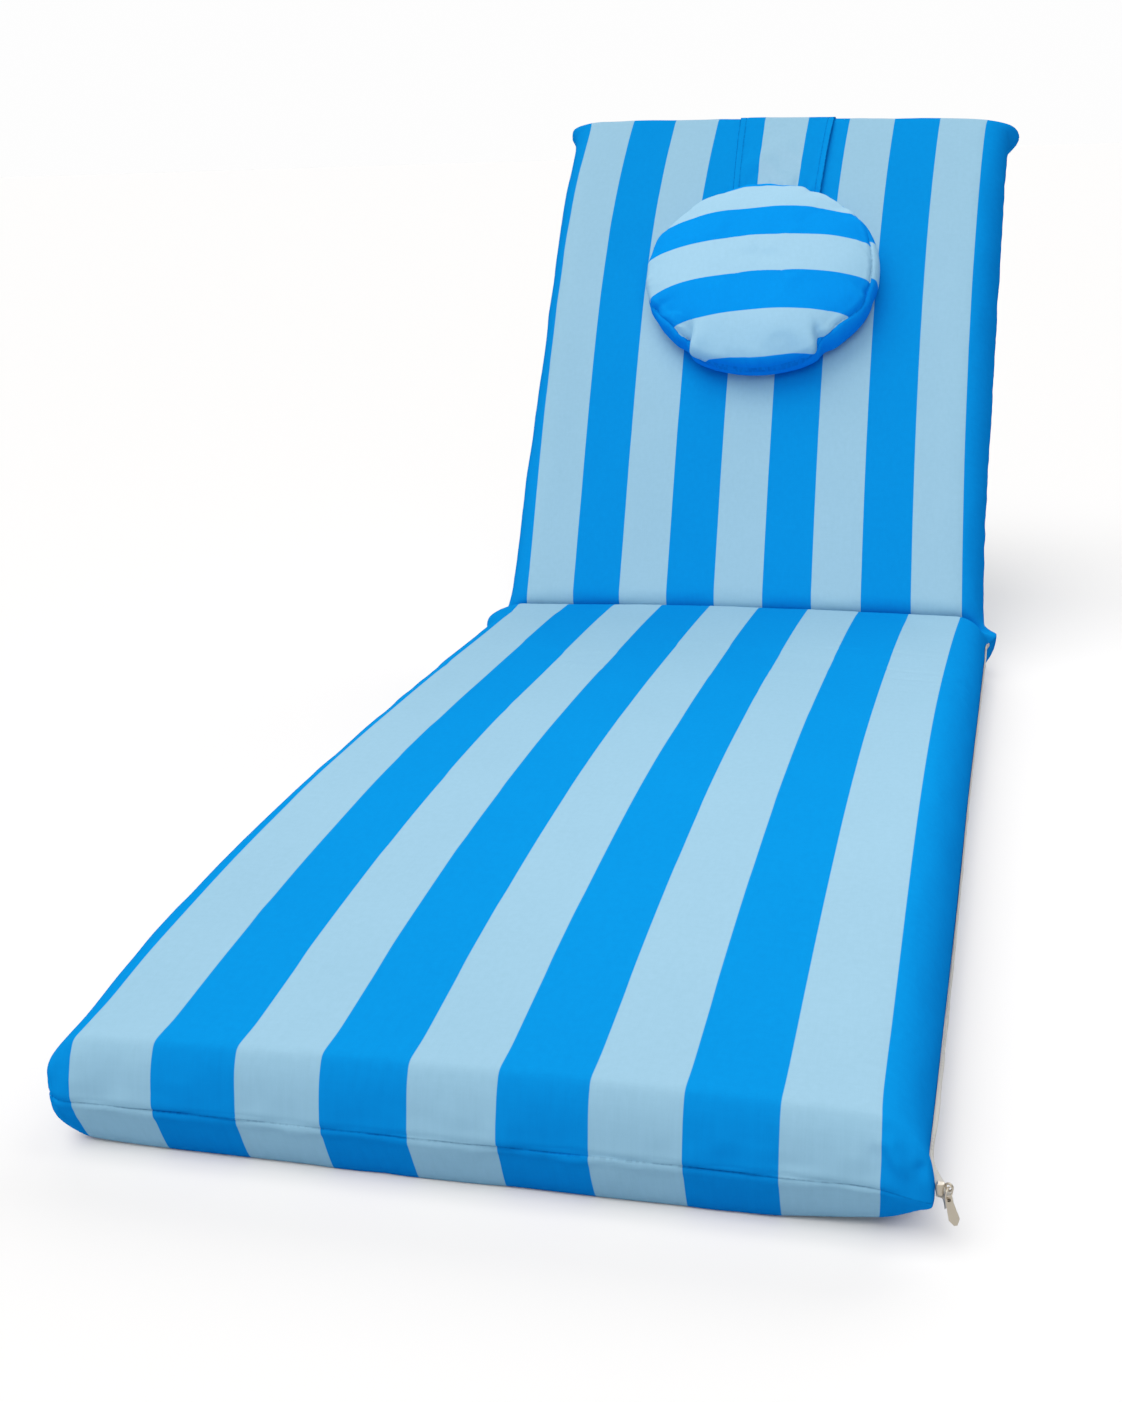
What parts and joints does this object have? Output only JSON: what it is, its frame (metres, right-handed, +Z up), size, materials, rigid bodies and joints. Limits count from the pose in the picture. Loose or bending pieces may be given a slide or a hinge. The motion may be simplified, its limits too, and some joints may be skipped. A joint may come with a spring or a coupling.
{
  "type": "sun lounger cushion",
  "caption": "Long filled lounger cushion with its head section raised at a fold, a side zip, and a round head pillow held by a strap over the head end.",
  "frame": {"origin": "a point on the flat underside of the seat section, near the middle of the seat", "axes": "+Y from the foot end to the head end, +Z up, +X to the side that carries the zip"},
  "size_m": [0.632, 1.6848, 0.6582],
  "materials": {
    "cover_cloth": "matte",
    "pillow_cloth": "matte",
    "strap_cloth": "matte",
    "zip_tape_cloth": "matte",
    "zip_metal": "satin"
  },
  "bodies": {
    "root": {"cushion_body": "cover_cloth", "head_pillow": "pillow_cloth", "pillow_strap": "strap_cloth", "zip_tape": "zip_tape_cloth", "zip_slider": "zip_metal", "zip_ring": "zip_metal", "zip_pull": "zip_metal"}
  },
  "joints": []
}
